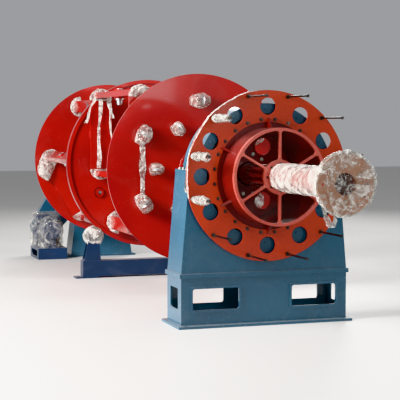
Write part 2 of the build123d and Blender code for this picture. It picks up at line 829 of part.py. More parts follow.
# Rear bearing: split block on the rear stand
with BuildPart() as rear_bearing:
    with BuildSketch(across(rear_stand_y + rear_block_depth / 2)):
        with Locations((0, -rear_housing_radius - rear_block_base / 2)):
            Rectangle(rear_block_width, rear_block_base)
        with Locations((0, -rear_housing_radius / 2)):
            Rectangle(2 * rear_housing_radius, rear_housing_radius)
        Circle(rear_housing_radius)
        Rectangle(rear_flange_width, 2 * rear_flange_height)
        Circle(journal_radius + running_gap, mode=Mode.SUBTRACT)
    extrude(amount=rear_block_depth)
save(rear_bearing.part, "rear_bearing")

# Drive guard: closed casing behind the rear stand, from the shaft to the drive unit
with BuildPart() as drive_guard:
    guard_hollow = guard_depth - 2 * guard_plate
    for inset, depth, mode in ((0, guard_depth, Mode.ADD), (guard_plate, guard_hollow, Mode.SUBTRACT)):
        with BuildSketch(upright(rear_face_y + guard_depth - inset)):
            with Locations((0, axis_height)):
                Circle(guard_big_radius - inset)
            with Locations((drive_x, drive_z)):
                Circle(guard_small_radius - inset)
            make_hull()
        extrude(amount=depth, mode=mode)
    with BuildSketch(across(rear_face_y + guard_plate)):
        Circle(journal_radius + moving_gap)
    extrude(amount=guard_plate, mode=Mode.SUBTRACT)
    with BuildSketch(across(rear_face_y + guard_depth)):
        Circle(guard_core_radius)
    extrude(amount=guard_plate, mode=Mode.SUBTRACT)
save(drive_guard.part, "drive_guard")

# Drive unit: base frame, ribbed gearbox and foot motor
gearbox_rear_y = rear_face_y
motor_rear_y = gearbox_rear_y - gearbox_length
drive_base_length = gearbox_length + motor_length
drive_base_y = gearbox_rear_y - drive_base_length / 2
with BuildPart() as drive_base:
    with BuildSketch(Plane.XY):
        with Locations((drive_x, drive_base_y)):
            Rectangle(drive_base_width, drive_base_length)
    extrude(amount=drive_base_height)
    with BuildSketch(Plane.XY):
        with Locations((drive_x, drive_base_y)):
            Rectangle(drive_base_width - 2 * drive_base_wall, drive_base_length - 2 * drive_base_wall)
    extrude(amount=drive_base_height - drive_base_wall, mode=Mode.SUBTRACT)
    with BuildSketch(Plane.YZ.offset(drive_x)):
        with Locations((drive_base_y, drive_base_height / 2)):
            SlotOverall(drive_base_length - 2 * drive_base_window, drive_base_window)
    extrude(amount=drive_base_width, both=True, mode=Mode.SUBTRACT)
save(drive_base.part, "drive_base")

with BuildPart() as gearbox:
    with BuildSketch(Plane.XY.offset(drive_base_height)):
        with Locations((drive_x, gearbox_rear_y - gearbox_length / 2)):
            Rectangle(gearbox_width, gearbox_length)
    extrude(amount=gearbox_height)
    fillet(gearbox.edges().filter_by(Axis.Y), gearbox_corner)
    with BuildSketch(Plane.XY.offset(drive_base_height)):
        with Locations((drive_x, gearbox_rear_y - gearbox_length / 2)):
            with GridLocations(0, gearbox_rib_spacing, 1, 2):
                Rectangle(gearbox_width + 2 * gearbox_rib_depth, gearbox_rib_width)
    extrude(amount=drive_z - drive_base_height)
    for height in (drive_base_height + gearbox_flange_height / 2, drive_z):
        with BuildSketch(Plane.XY.offset(height - gearbox_flange_height / 2)):
            with Locations((drive_x, gearbox_rear_y - gearbox_length / 2)):
                Rectangle(gearbox_width + 2 * gearbox_flange, gearbox_length)
        extrude(amount=gearbox_flange_height)
save(gearbox.part, "gearbox")

with BuildPart() as drive_motor:
    with BuildSketch(upright(motor_rear_y)):
        with Locations((drive_x, drive_z)):
            Circle(motor_radius)
        with Locations((drive_x, drive_base_height + motor_foot_thickness / 2)):
            Rectangle(motor_foot_width, motor_foot_thickness)
        with Locations((drive_x, (drive_base_height + drive_z) / 2)):
            Rectangle(motor_foot_width / 2, drive_z - drive_base_height)
    extrude(amount=motor_length - motor_cowl_length)
    with BuildSketch(upright(motor_rear_y - motor_length + motor_cowl_length)):
        with Locations((drive_x, drive_z)):
            Circle(motor_cowl_radius)
    extrude(amount=motor_cowl_length, taper=6)
    with BuildSketch(Plane.XY.offset(drive_z + motor_radius - terminal_box_height / 3)):
        with Locations((drive_x, motor_rear_y - motor_length / 2)):
            Rectangle(terminal_box_size, terminal_box_size)
    extrude(amount=terminal_box_height)
save(drive_motor.part, "drive_motor")
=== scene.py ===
import bpy
import bmesh
import json
import math
import random
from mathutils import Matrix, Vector


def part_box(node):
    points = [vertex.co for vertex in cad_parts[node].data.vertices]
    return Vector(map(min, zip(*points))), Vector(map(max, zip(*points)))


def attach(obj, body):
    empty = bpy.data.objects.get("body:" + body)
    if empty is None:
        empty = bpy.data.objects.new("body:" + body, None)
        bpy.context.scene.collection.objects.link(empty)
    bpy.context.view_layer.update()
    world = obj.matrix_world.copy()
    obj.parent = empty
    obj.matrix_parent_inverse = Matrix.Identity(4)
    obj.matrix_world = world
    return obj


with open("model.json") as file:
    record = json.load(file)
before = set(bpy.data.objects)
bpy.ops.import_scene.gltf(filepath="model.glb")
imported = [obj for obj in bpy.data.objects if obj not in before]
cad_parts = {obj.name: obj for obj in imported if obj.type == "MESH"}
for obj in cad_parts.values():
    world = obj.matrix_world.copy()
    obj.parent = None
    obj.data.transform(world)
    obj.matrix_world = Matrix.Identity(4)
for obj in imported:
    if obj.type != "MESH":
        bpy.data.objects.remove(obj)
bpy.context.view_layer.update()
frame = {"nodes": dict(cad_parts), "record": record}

record = frame["record"]
joints = {joint["name"]: Vector(joint["pos_m"]) for joint in record["behaviour"]["joints"]}
mounts = {mount["name"]: mount for mount in record["mounts"]}
axisHeight = joints["rotor_spin"].z
cradleNumbers = range(1, 7)
forward, rearward = Vector((0, -1, 0)), Vector((0, 1, 0))
sideways, upward = Vector((1, 0, 0)), Vector((0, 0, 1))
print("frame loaded")


def newObject(name, data):
    thing = bpy.data.objects.new(name, data)
    bpy.context.collection.objects.link(thing)
    return thing


def lookAt(thing, place, aim):
    thing.location = place
    thing.rotation_euler = (Vector(aim) - thing.location).to_track_quat("-Z", "Y").to_euler()


# camera: left of the machine and a little above its axis, with a long lens
cameraSet = {
    "place": (-4.40, -11.45, 1.95),
    "aim": (-0.30, 0.89, 1.155),
    "lens": 112,  # mm on a 36 mm sensor
    "sight": 200,  # metres, past the end of the floor
}


def makeCamera():
    data = bpy.data.cameras.new("camera")
    data.lens = cameraSet["lens"]
    data.clip_end = cameraSet["sight"]
    camera = newObject("camera", data)
    lookAt(camera, cameraSet["place"], cameraSet["aim"])
    bpy.context.scene.camera = camera


makeCamera()
print("camera placed")


class Wire:  # one output socket: sums and products on it add Math nodes
    def __init__(self, tree, socket):
        self.tree = tree
        self.socket = socket

    def maths(self, operation, first, second=0.0):
        return self.tree.add("ShaderNodeMath", {"operation": operation}, {0: first, 1: second})

    def __add__(self, other):
        return self.maths("ADD", self, other)

    def __radd__(self, other):
        return self.maths("ADD", other, self)

    def __sub__(self, other):
        return self.maths("SUBTRACT", self, other)

    def __rsub__(self, other):
        return self.maths("SUBTRACT", other, self)

    def __mul__(self, other):
        return self.maths("MULTIPLY", self, other)

    def __rmul__(self, other):
        return self.maths("MULTIPLY", other, self)

    def __pow__(self, other):
        return self.maths("POWER", self, other)

    def atMost(self, other):
        return self.maths("MINIMUM", self, other)

    def atLeast(self, other):
        return self.maths("MAXIMUM", self, other)

    def withoutSign(self):
        return self.maths("ABSOLUTE", self)

    def sine(self):
        return self.maths("SINE", self)


class Tree:  # a node tree being built
    def __init__(self, nodeTree):
        self.nodeTree = nodeTree

    def add(self, kind, settings=None, values=None, output=0):
        node = self.nodeTree.nodes.new(kind)
        for key, value in (settings or {}).items():
            setattr(node, key, value)
        for key, value in (values or {}).items():
            for one in value if isinstance(value, list) else [value]:
                if isinstance(one, Wire):
                    self.nodeTree.links.new(one.socket, node.inputs[key])
                else:
                    node.inputs[key].default_value = one
        return Wire(self, node.outputs[output]) if len(node.outputs) else None

    def noise(self, place, scale, detail=3.0, distortion=0.0):
        values = {"Vector": place, "Scale": scale, "Detail": detail, "Distortion": distortion}
        return self.add("ShaderNodeTexNoise", {}, values)

    def rise(self, factor, low, high):  # 0 up to low, 1 from high on
        values = {"Value": factor, "From Min": low, "From Max": high}
        return self.add("ShaderNodeMapRange", {"clamp": True}, values)

    def mixColour(self, factor, first, second):
        values = {0: factor, 6: first, 7: second}
        return self.add("ShaderNodeMix", {"data_type": "RGBA"}, values, 2)

    def stretch(self, place, scale):
        return self.add("ShaderNodeVectorMath", {"operation": "MULTIPLY"}, {0: place, 1: scale})

    def ridges(self, place, scale, sharp):  # 1 on thin winding lines, 0 between them
        folds = self.noise(place, scale, 3.0, 1.4)
        return (1.0 - (folds * 2.0 - 1.0).withoutSign() * sharp).atLeast(0.0)


def startFinish(name):
    material = bpy.data.materials.new(name)
    material.use_nodes = True
    material.node_tree.nodes.clear()
    tree = Tree(material.node_tree)
    return material, tree, tree.add("ShaderNodeTexCoord", output="Object")


def endFinish(tree, values):
    shader = tree.add("ShaderNodeBsdfPrincipled", {}, values)
    tree.add("ShaderNodeOutputMaterial", {}, {"Surface": shader})


def bump(tree, height, strength, distance):
    values = {"Height": height, "Strength": strength, "Distance": distance}
    return tree.add("ShaderNodeBump", {}, values)


dustColour = (0.52, 0.48, 0.44, 1)
enamelLook = {  # rough, coat, dust and wave are shares of 1
    "red enamel": {
        "colour": (0.37, 0.014, 0.009), "shade": (0.24, 0.009, 0.008),
        "rough": 0.22, "coat": 0.7, "dust": 0.09, "wave": 0.45,
    },
    # a darker copy of the red enamel, put on the front drum as painted shade
    "red enamel darkened for shade": {
        "colour": (0.17, 0.008, 0.006), "shade": (0.11, 0.005, 0.004),
        "rough": 0.30, "coat": 0.25, "dust": 0.05, "wave": 0.3,
    },
    "orange enamel": {
        "colour": (0.50, 0.050, 0.011), "shade": (0.38, 0.032, 0.010),
        "rough": 0.27, "coat": 0.35, "dust": 0.06, "wave": 0.3,
    },
    # a lighter copy of the red enamel, put on the wheel's thin rim and spokes as painted highlight
    "red enamel lightened for highlights": {
        "colour": (0.58, 0.15, 0.12), "shade": (0.48, 0.09, 0.07),
        "rough": 0.28, "coat": 0.4, "dust": 0.10, "wave": 0.1,
    },
    "buff primer": {
        "colour": (0.46, 0.22, 0.12), "shade": (0.38, 0.16, 0.08),
        "rough": 0.45, "coat": 0.0, "dust": 0.05, "wave": 0.2,
    },
    "blue enamel": {
        "colour": (0.024, 0.108, 0.175), "shade": (0.018, 0.076, 0.130),
        "rough": 0.26, "coat": 0.6, "dust": 0.20, "wave": 0.5,
    },
    "dark blue enamel": {
        "colour": (0.010, 0.034, 0.090), "shade": (0.008, 0.024, 0.062),
        "rough": 0.34, "coat": 0.35, "dust": 0.22, "wave": 0.4,
    },
}
paintScale = {"broad": 1.1, "mottle": 11.0, "grime": 3.4, "peel": 240.0, "sheet": 2.4, "rubs": 3.0}


def makeEnamel(name):
    look, scale = enamelLook[name], paintScale
    material, tree, place = startFinish(name)
    facing = tree.add("ShaderNodeTexCoord", output="Normal")
    level = tree.add("ShaderNodeSeparateXYZ", {}, {"Vector": facing}, 2)
    broad = tree.noise(place, scale["broad"], 4.0)
    mottle = tree.noise(place, scale["mottle"], 6.0, 0.4)
    grime = tree.rise(tree.noise(place, scale["grime"], 8.0, 1.2), 0.54, 0.80)
    peel = tree.noise(place, scale["peel"], 1.0)
    sheet = tree.noise(place, scale["sheet"], 1.0)
    strokes = tree.stretch(place, (9.0, 9.0, 60.0))  # short and level
    rubs = tree.rise(tree.noise(strokes, scale["rubs"], 4.0, 0.6), 0.70, 0.74)
    settled = tree.rise(level, 0.2, 0.95) * (0.35 + mottle * 0.65) * look["dust"]
    painted = tree.mixColour(tree.rise(broad, 0.3, 0.7), (*look["shade"], 1), (*look["colour"], 1))
    rubbed = tree.mixColour(rubs * 0.22, painted, dustColour)
    cover = (settled * 2.6 + grime * (0.35 * look["dust"])).atMost(0.85)
    rough = look["rough"] + settled * 0.9 + (mottle - 0.5) * 0.14 + rubs * 0.1
    endFinish(tree, {
        "Coat Roughness": 0.07, "IOR": 1.5,
        "Base Color": tree.mixColour(cover, rubbed, dustColour),
        "Roughness": rough.atLeast(0.05),
        "Coat Weight": (look["coat"] - grime * 0.25 - settled * 2.0).atLeast(0.0),
        "Normal": bump(tree, peel * 0.04 + sheet * look["wave"], 0.45, 0.004),
    })
    return material


steelLook = {"stained": (0.30, 0.27, 0.24), "rough": 0.26}
steelScale = {"grain": 90.0, "stain": 6.0, "tool marks": 2600.0}


def makeSteel(name, tint):
    material, tree, place = startFinish(name)
    grain = tree.noise(place, steelScale["grain"], 5.0, 0.2)
    stain = tree.rise(tree.noise(place, steelScale["stain"], 6.0, 0.8), 0.5, 0.8)
    depth = tree.add("ShaderNodeSeparateXYZ", {}, {"Vector": place}, 1)
    marks = (depth * steelScale["tool marks"]).sine()
    endFinish(tree, {
        "Metallic": 1.0,
        "Base Color": tree.mixColour(stain, (*tint, 1), (*steelLook["stained"], 1)),
        "Roughness": steelLook["rough"] + stain * 0.22 + grain * 0.1,
        "Normal": bump(tree, marks * 0.4 + grain, 0.25, 0.0005),
    })
    return material


clearTint, cloudTint = (0.42, 0.39, 0.35, 1), (0.94, 0.91, 0.85, 1)
filmLook = {  # least and added cover, creases per metre, and where the cloudy patches begin
    "thin stretch film": {"clear": 0.30, "cloud": 0.56, "creases": 11.0, "low": 0.46},
    "wound stretch film": {"clear": 0.28, "cloud": 0.64, "creases": 13.0, "low": 0.45},
    "clear wound film": {"clear": 0.14, "cloud": 0.58, "creases": 11.0, "low": 0.53},
    "smoky wound film": {"clear": 0.10, "cloud": 0.40, "creases": 9.0, "low": 0.52},
    "taut stretch film": {"clear": 0.12, "cloud": 0.68, "creases": 12.0, "low": 0.50},
    "bunched stretch film": {"clear": 0.40, "cloud": 0.58, "creases": 20.0, "low": 0.38},
    "twisted stretch film": {"clear": 0.26, "cloud": 0.66, "creases": 24.0, "low": 0.50},
}
filmScale = {"broad": 0.55, "fine": 1.7, "layers": 0.5}  # shares of the creases per metre


def makeFilm(name):
    look, scale = filmLook[name], filmScale
    material, tree, place = startFinish(name)
    broad = tree.ridges(place, look["creases"] * scale["broad"], 9.0)
    fine = tree.ridges(place, look["creases"] * scale["fine"], 5.0)
    layers = tree.noise(place, look["creases"] * scale["layers"], 5.0, 1.6)
    patches = tree.rise(layers, look["low"], look["low"] + 0.14)
    # where the film is seen edge-on it is painted whiter and more opaque: a painted sheen added to
    # its creases and cloudy patches
    rim = tree.add("ShaderNodeLayerWeight", {}, {"Blend": 0.25}, "Facing")
    whiteCoverAndSheen = (broad * 0.5 + fine * 0.22 + patches * 0.55 + rim * 0.35).atMost(1.0)
    endFinish(tree, {
        "IOR": 1.55, "Specular IOR Level": 1.0,
        "Base Color": tree.mixColour(whiteCoverAndSheen, clearTint, cloudTint),
        "Roughness": 0.06 + patches * 0.14,
        "Alpha": (look["clear"] + whiteCoverAndSheen * look["cloud"]).atMost(0.97),
        "Normal": bump(tree, layers * 1.6 + broad * 0.25 + fine * 0.12, 1.0, 0.025),
    })
    return material


redEnamel, shadedRedEnamel, orangeEnamel, highlightRedEnamel, buffPrimer, blueEnamel, darkBlueEnamel = (
    makeEnamel(name) for name in enamelLook
)
turnedSteel = makeSteel("turned steel", (0.56, 0.56, 0.58))
boltSteel = makeSteel("zinc-plated steel", (0.60, 0.58, 0.52))
darkSteel = makeSteel("blackened steel", (0.09, 0.085, 0.08))
thinFilm, woundFilm, clearFilm, smokyFilm, tautFilm, bunchedFilm, twistedFilm = (
    makeFilm(name) for name in filmLook
)
slotFinish = {
    "red_paint": redEnamel,
    "orange_paint": orangeEnamel,
    "blue_paint": blueEnamel,
    "dark_blue_paint": darkBlueEnamel,
    "steel": turnedSteel,
}
ownFinish = {
    # the spoke wheel takes the red enamel lightened as painted highlight
    "spoke_wheel": highlightRedEnamel,
    # the front drum takes the red enamel darkened as painted shade
    "front_drum": shadedRedEnamel,
    "face_plate": buffPrimer,
    "filler_pins": darkSteel,
}
for entry in record["subparts"]:
    finish = ownFinish.get(entry["node"], slotFinish[entry["material_slot"]])
    for slot in frame["nodes"][entry["node"]].material_slots:
        slot.material = finish
print("finishes made")


# Geometry Nodes: each tree is built once, then baked to a plain mesh on a holder of its own
def startShape(name, numbers, vectors=()):  # numbers and vectors: the labels of its own inputs
    group = bpy.data.node_groups.new(name, "GeometryNodeTree")
    inputs = {"Geometry": ["Geometry"], "Float": numbers, "Vector": vectors, "Material": ["Finish"]}
    for kind, labels in inputs.items():
        for label in labels:
            group.interface.new_socket(label, in_out="INPUT", socket_type=f"NodeSocket{kind}")
    group.interface.new_socket("Geometry", in_out="OUTPUT", socket_type="NodeSocketGeometry")
    tree = Tree(group)
    source = group.nodes.new("NodeGroupInput")
    given = {socket.name: Wire(tree, socket) for socket in source.outputs if socket.name}
    return group, tree, given


def endShape(tree, geometry, finish, smooth):
    real = tree.add("GeometryNodeRealizeInstances", {}, {0: geometry})
    shaded = tree.add("GeometryNodeSetShadeSmooth", {}, {0: real, "Shade Smooth": smooth})
    done = tree.add("GeometryNodeSetMaterial", {}, {0: shaded, "Material": finish})
    tree.add("NodeGroupOutput", {}, {0: done})


def bakeShape(name, mesh, group, inputs, body):
    piece = newObject(name, mesh)
    modifier = piece.modifiers.new("shape", "NODES")
    modifier.node_group = group
    for item in group.interface.items_tree:
        if item.in_out == "INPUT" and item.name in inputs:
            modifier[item.identifier] = inputs[item.name]
    depsgraph = bpy.context.evaluated_depsgraph_get()
    baked = bpy.data.meshes.new_from_object(piece.evaluated_get(depsgraph))
    piece.modifiers.clear()
    piece.data = baked
    baked.name = name
    bpy.data.meshes.remove(mesh)
    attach(piece, body)
    return piece


def standOnPoints(tree, given, part, pivot="AUTO"):  # each part stands along its point's aim
    kind, axes = {"data_type": "FLOAT_VECTOR"}, {"axis": "Z", "pivot_axis": pivot}
    aim = tree.add("GeometryNodeInputNamedAttribute", kind, {"Name": "aim"})
    turn = tree.add("FunctionNodeAlignRotationToVector", axes, {"Vector": aim})
    points = tree.add("GeometryNodeMeshToPoints", {}, {0: given["Geometry"]})
    values = {"Points": points, "Instance": part, "Rotation": turn}
    endShape(tree, tree.add("GeometryNodeInstanceOnPoints", {}, values), given["Finish"], False)


def plainMesh(name, points, edges=(), faces=()):
    mesh = bpy.data.meshes.new(name)
    mesh.from_pydata([tuple(point) for point in points], list(edges), list(faces))
    mesh.update()
    return mesh


boltParts = (  # sides, radius and depth as shares of the head's radius
    (6, 1.0, 1.1),  # head
    (14, 1.4, 0.24),  # washer
)


def makeBoltTree():  # a hexagon head on a washer at each point
    group, tree, given = startShape("hexBolts", ["Head Radius"])
    head, parts = given["Head Radius"], []
    for sides, radius, depth in boltParts:
        values = {"Vertices": sides, "Radius": head * radius, "Depth": head * depth}
        part = tree.add("GeometryNodeMeshCylinder", {}, values)
        lift = tree.add("ShaderNodeCombineXYZ", {}, {"Z": head * (depth / 2)})
        parts.append(tree.add("GeometryNodeTransform", {}, {"Geometry": part, "Translation": lift}))
    standOnPoints(tree, given, tree.add("GeometryNodeJoinGeometry", {}, {"Geometry": parts}))
    return group


beadShape = {"sides": 6, "step": 0.4, "least": 0.8, "swell": 0.3}  # step: share of the pitch


def makeWeldTree():  # a rippled bead along every line of edges
    size = beadShape
    group, tree, given = startShape("weldBeads", ["Bead Radius", "Ripple Pitch"])
    line = tree.add("GeometryNodeMeshToCurve", {}, {0: given["Geometry"]})
    values = {"Curve": line, "Length": given["Ripple Pitch"] * size["step"]}
    even = tree.add("GeometryNodeResampleCurve", {"mode": "LENGTH"}, values)
    along = tree.add("GeometryNodeSplineParameter", {}, {}, "Length")
    values = {0: along, 1: given["Ripple Pitch"]}
    ripple = tree.add("ShaderNodeMath", {"operation": "DIVIDE"}, values)
    wave = (ripple * math.pi).sine().withoutSign()
    thick = given["Bead Radius"] * (size["least"] + wave * size["swell"])
    values = {"Resolution": size["sides"], "Radius": 1.0}
    section = tree.add("GeometryNodeCurvePrimitiveCircle", {}, values)
    values = {"Curve": even, "Profile Curve": section, "Scale": thick}
    endShape(tree, tree.add("GeometryNodeCurveToMesh", {}, values), given["Finish"], True)
    return group


def makeFinTree():  # thin fins standing out from a round body that lies along Y
    group, tree, given = startShape("coolingFins", ["Fin Height", "Fin Length", "Fin Width"])
    values = {"X": given["Fin Width"], "Y": given["Fin Length"], "Z": given["Fin Height"]}
    size = tree.add("ShaderNodeCombineXYZ", {}, values)
    fin = tree.add("GeometryNodeMeshCube", {}, {"Size": size})
    standOnPoints(tree, given, fin, pivot="Y")
    return group


crumpleShape = {  # scales beside that of the folds, and the height of each kind
    "crease scale": 1.6, "bulge scale": 0.45, "sharpness": 2.2,
    "creases": 0.9, "folds": 0.6, "bulges": 1.3, "bulge floor": 0.35,
}


def makeCrumpleTree():  # angular creases, long folds and slack bulges
    size = crumpleShape
    numbers = ["Fold Depth", "Folds Per Metre", "Fold Length", "Seed"]
    group, tree, given = startShape("crumpledFilm", numbers, ["Fold Direction"])
    place = tree.add("GeometryNodeInputPosition")
    values = {0: place, 1: given["Fold Direction"]}
    along = tree.add("ShaderNodeVectorMath", {"operation": "DOT_PRODUCT"}, values, "Value")
    values = {0: 1.0, 1: given["Fold Length"]}
    shorter = tree.add("ShaderNodeMath", {"operation": "DIVIDE"}, values)
    values = {0: given["Fold Direction"], "Scale": along * (1.0 - shorter)}
    excess = tree.add("ShaderNodeVectorMath", {"operation": "SCALE"}, values)
    spaced = tree.add("ShaderNodeVectorMath", {"operation": "SUBTRACT"}, {0: place, 1: excess})
    noises, settings = [], {"noise_dimensions": "4D"}
    for share in (1.0, size["bulge scale"]):
        values = {"Vector": spaced, "W": given["Seed"], "Scale": given["Folds Per Metre"] * share}
        values.update({"Detail": 2.0, "Distortion": 0.9})
        noises.append(tree.add("ShaderNodeTexNoise", settings, values))
    fine = given["Folds Per Metre"] * size["crease scale"]
    values = {"Vector": spaced, "W": given["Seed"], "Scale": fine}
    creases = tree.add("ShaderNodeTexVoronoi", {"voronoi_dimensions": "4D"}, values)
    folds = (1.0 - (noises[0] * 2.0 - 1.0).withoutSign() * size["sharpness"]).atLeast(0.0)
    bulges = (noises[1] - size["bulge floor"]) * size["bulges"]
    height = (creases * size["creases"] + (folds ** 2.0) * size["folds"] + bulges).atLeast(0.0)
    values = {0: tree.add("GeometryNodeInputNormal"), "Scale": height * given["Fold Depth"]}
    shift = tree.add("ShaderNodeVectorMath", {"operation": "SCALE"}, values)
    values = {"Geometry": given["Geometry"], "Offset": shift}
    endShape(tree, tree.add("GeometryNodeSetPosition", {}, values), given["Finish"], True)
    return group


hexBolts, weldBeads = makeBoltTree(), makeWeldTree()
coolingFins, crumpledFilm = makeFinTree(), makeCrumpleTree()


def spotMesh(name, spots):  # spots are pairs of a place and an aim
    mesh = plainMesh(name, [place for place, _ in spots])
    aims = mesh.attributes.new("aim", "FLOAT_VECTOR", "POINT")
    for entry, (_, aim) in zip(aims.data, spots):
        entry.vector = aim
    return mesh


def boltsAt(name, body, spots, head, finish=boltSteel):
    bakeShape(name, spotMesh(name, spots), hexBolts, {"Head Radius": head, "Finish": finish}, body)


def onAxis(y):
    return Vector((0, y, axisHeight))


def roundSpot(centre, radius, angle):  # on a circle square to the rotor axis
    turn = math.radians(angle)
    return centre + Vector((radius * math.cos(turn), 0, radius * math.sin(turn)))


def boltRing(size, centre, aim):
    count = size["count"]
    angles = [size["first"] + 360 * step / count for step in range(count)]
    return [(roundSpot(centre, size["circle"], angle), aim) for angle in angles]


def turnBetween(angle, other):  # in degrees, the shorter way round
    return abs((angle - other + 180) % 360 - 180)


def frontY(node):
    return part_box(node)[0].y


def rearY(node):
    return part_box(node)[1].y


def middleY(node):
    return (frontY(node) + rearY(node)) / 2


def reachOf(node):  # a round node's radius
    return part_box(node)[1].x


fillerBore = 0.521  # of the filler disc
fillerCircle = (reachOf("front_drum") + fillerBore) / 2  # halfway to the edge of the drum's flange
rotorBolts = {  # head and circle are radii, first an angle, off the distance from a disc's middle
    "filler ring": {"head": 0.013, "count": 24, "first": 7.5, "circle": fillerCircle},
    "wheel hub": {"head": 0.008, "count": 8, "first": 0, "circle": 0.131},
    "web ring": {"head": 0.013, "count": 12, "first": 15, "circle": 0.205},
    "face plate": {"head": 0.010, "count": 6, "first": 30, "circle": 0.150},
    "cage hub": {"head": 0.014, "count": 12, "first": 15, "circle": 0.193, "off": 0.060},
    "pivot": {"head": 0.011, "count": 6, "first": 0, "circle": 0.098, "off": 0.065},
    "guide ring": {"head": 0.006, "count": 6, "first": 0, "circle": 0.064},
}
bayOf = {1: "front", 2: "front", 3: "front", 4: "middle", 5: "middle", 6: "middle"}
nextDisc = {"front": "middle", "middle": "rear"}


def makeRotorBolts():
    for name, node, finish in (
        ("filler ring", "filler_disc", darkSteel),
        ("wheel hub", "spoke_wheel", darkSteel),
        ("web ring", "drum_web", boltSteel),
        ("face plate", "face_plate", boltSteel),
    ):
        ring = rotorBolts[name]
        spots = boltRing(ring, onAxis(frontY(node)), forward)
        boltsAt(f"{name.replace(' ', '_')}_bolts", "rotor", spots, ring["head"], finish)
    spots, ring = [], rotorBolts["cage hub"]
    for disc in ("front", "middle", "rear"):
        y = middleY(f"cage_disc_{disc}")
        spots += boltRing(ring, onAxis(y - ring["off"]), forward)
        spots += boltRing(ring, onAxis(y + ring["off"]), rearward)
    boltsAt("cage_hub_bolts", "rotor", spots, ring["head"])
    spots, ring = [], rotorBolts["pivot"]
    for number in cradleNumbers:
        pivot, bay = joints[f"cradle_{number}_turn"], bayOf[number]
        near, far = middleY(f"cage_disc_{bay}"), middleY(f"cage_disc_{nextDisc[bay]}")
        for y, aim in ((near + ring["off"], rearward), (far - ring["off"], forward)):
            spots += boltRing(ring, Vector((pivot.x, y, pivot.z)), aim)
    boltsAt("pivot_bearing_bolts", "rotor", spots, ring["head"])
    spots, ring = [], rotorBolts["guide ring"]
    for number in (4, 5, 6):  # each ring stands before a rear cradle's pivot
        pivot = joints[f"cradle_{number}_turn"]
        spots += boltRing(ring, Vector((pivot.x, rearY("guide_rings"), pivot.z)), rearward)
    boltsAt("guide_ring_screws", "rotor", spots, ring["head"])


makeRotorBolts()

pivotCircle = (joints["cradle_4_turn"] - joints["rotor_spin"]).z
sheaveCount = 6
sheaveRings = {  # as in the CAD model; the cheeks stand to either side, the sheaves off the disc
    "outer": {"circle": pivotCircle + 0.020, "first": 30, "cheek": 0.075, "stand off": 0.106},
    "inner": {"circle": 0.515, "first": 0, "cheek": 0.030, "stand off": 0.095},
}
sheaveNuts = {
    "head": 0.015, "foot head": 0.0065,
    "foot side": 0.012, "foot spread": 0.024, "foot plate": 0.012,
}


def makeSheaveNuts():
    discFront, size = rearY("outer_sheave_brackets"), sheaveNuts
    axles, feet = [], []
    for ring in sheaveRings.values():
        for step in range(sheaveCount):
            angle = ring["first"] + 360 * step / sheaveCount
            centre = roundSpot(onAxis(discFront - ring["stand off"]), ring["circle"], angle)
            outward = (roundSpot(onAxis(0), 1, angle) - onAxis(0)).normalized()
            side = outward.cross(forward).normalized()
            foot = centre + rearward * (ring["stand off"] - size["foot plate"])
            for way in (-1, 1):
                axles.append((centre + side * way * ring["cheek"], side * way))
                for level in (-1, 1):
                    across = side * way * (ring["cheek"] + size["foot side"])
                    feet.append((foot + across + outward * level * size["foot spread"], forward))
    boltsAt("sheave_axle_nuts", "rotor", axles, size["head"])
    boltsAt("sheave_foot_bolts", "rotor", feet, size["foot head"])


makeSheaveNuts()

cradleSize = {  # as in the CAD model
    "half length": 0.940, "end plate": 0.040, "half reach": 0.560, "boss": 0.095,
    "beam centre": 0.485, "beam": (0.070, 0.160), "seat": 0.430, "pintle flange": 0.014,
}
cradleBolts = {
    "head": 0.011, "off beam": (0.043, 0.062), "pintle head": 0.006, "pintle circle": 0.046,
}


def cradleAxes(number):  # the pivot, and the directions along and across the end plates
    along = Vector(mounts[f"cradle_{number}_bobbin"]["axis"])
    return joints[f"cradle_{number}_turn"], along, Vector((-along.z, 0, along.x))


def makeCradleBolts():
    size = cradleSize
    offAlong, offAcross = cradleBolts["off beam"]
    for number in cradleNumbers:
        pivot, along, across = cradleAxes(number)
        spots, small = [], []
        for side in (-1, 1):
            beam = pivot + along * side * size["beam centre"]
            for end in (-1, 1):
                face = beam + rearward * end * size["half length"]
                for u in (-offAlong, offAlong):
                    for w in (-offAcross, offAcross):
                        spots.append((face + (along * u + across * w), rearward * end))
            flange = pivot + along * side * (size["seat"] - size["pintle flange"])
            for step in range(4):
                turn = math.radians(45 + 90 * step)
                off = rearward * math.cos(turn) + across * math.sin(turn)
                small.append((flange + off * cradleBolts["pintle circle"], along * -side))
        cradle = f"cradle_{number}"
        boltsAt(f"{cradle}_bolts", cradle, spots, cradleBolts["head"])
        boltsAt(f"{cradle}_pintle_screws", cradle, small, cradleBolts["pintle head"])


makeCradleBolts()

standBolts = {
    "cap": {"head": 0.018, "out": 0.742, "rows": (-0.165, -0.055, 0.055, 0.165), "top": 0.060},
    "retainer": {"head": 0.012, "circle": 0.650, "count": 24, "first": 0},
    "rear base": {"head": 0.018, "out": 0.245, "row": 0.085, "top": 0.060},
    "guard": {"head": 0.008, "inset": 0.024, "spacing": 0.16},
    # levels: on the foot and on the joint flange
    "gearbox": {"head": 0.011, "out": 0.182, "rows": (-0.10, 0.0, 0.10), "levels": (0.196, 0.438)},
}


def uprightBolts(name, middle, size, rows, levels):  # to the left and right of the middle
    across = [middle + side * size["out"] for side in (-1, 1)]
    spots = [(Vector((x, y, level)), upward) for x in across for y in rows for level in levels]
    boltsAt(name, "root", spots, size["head"])


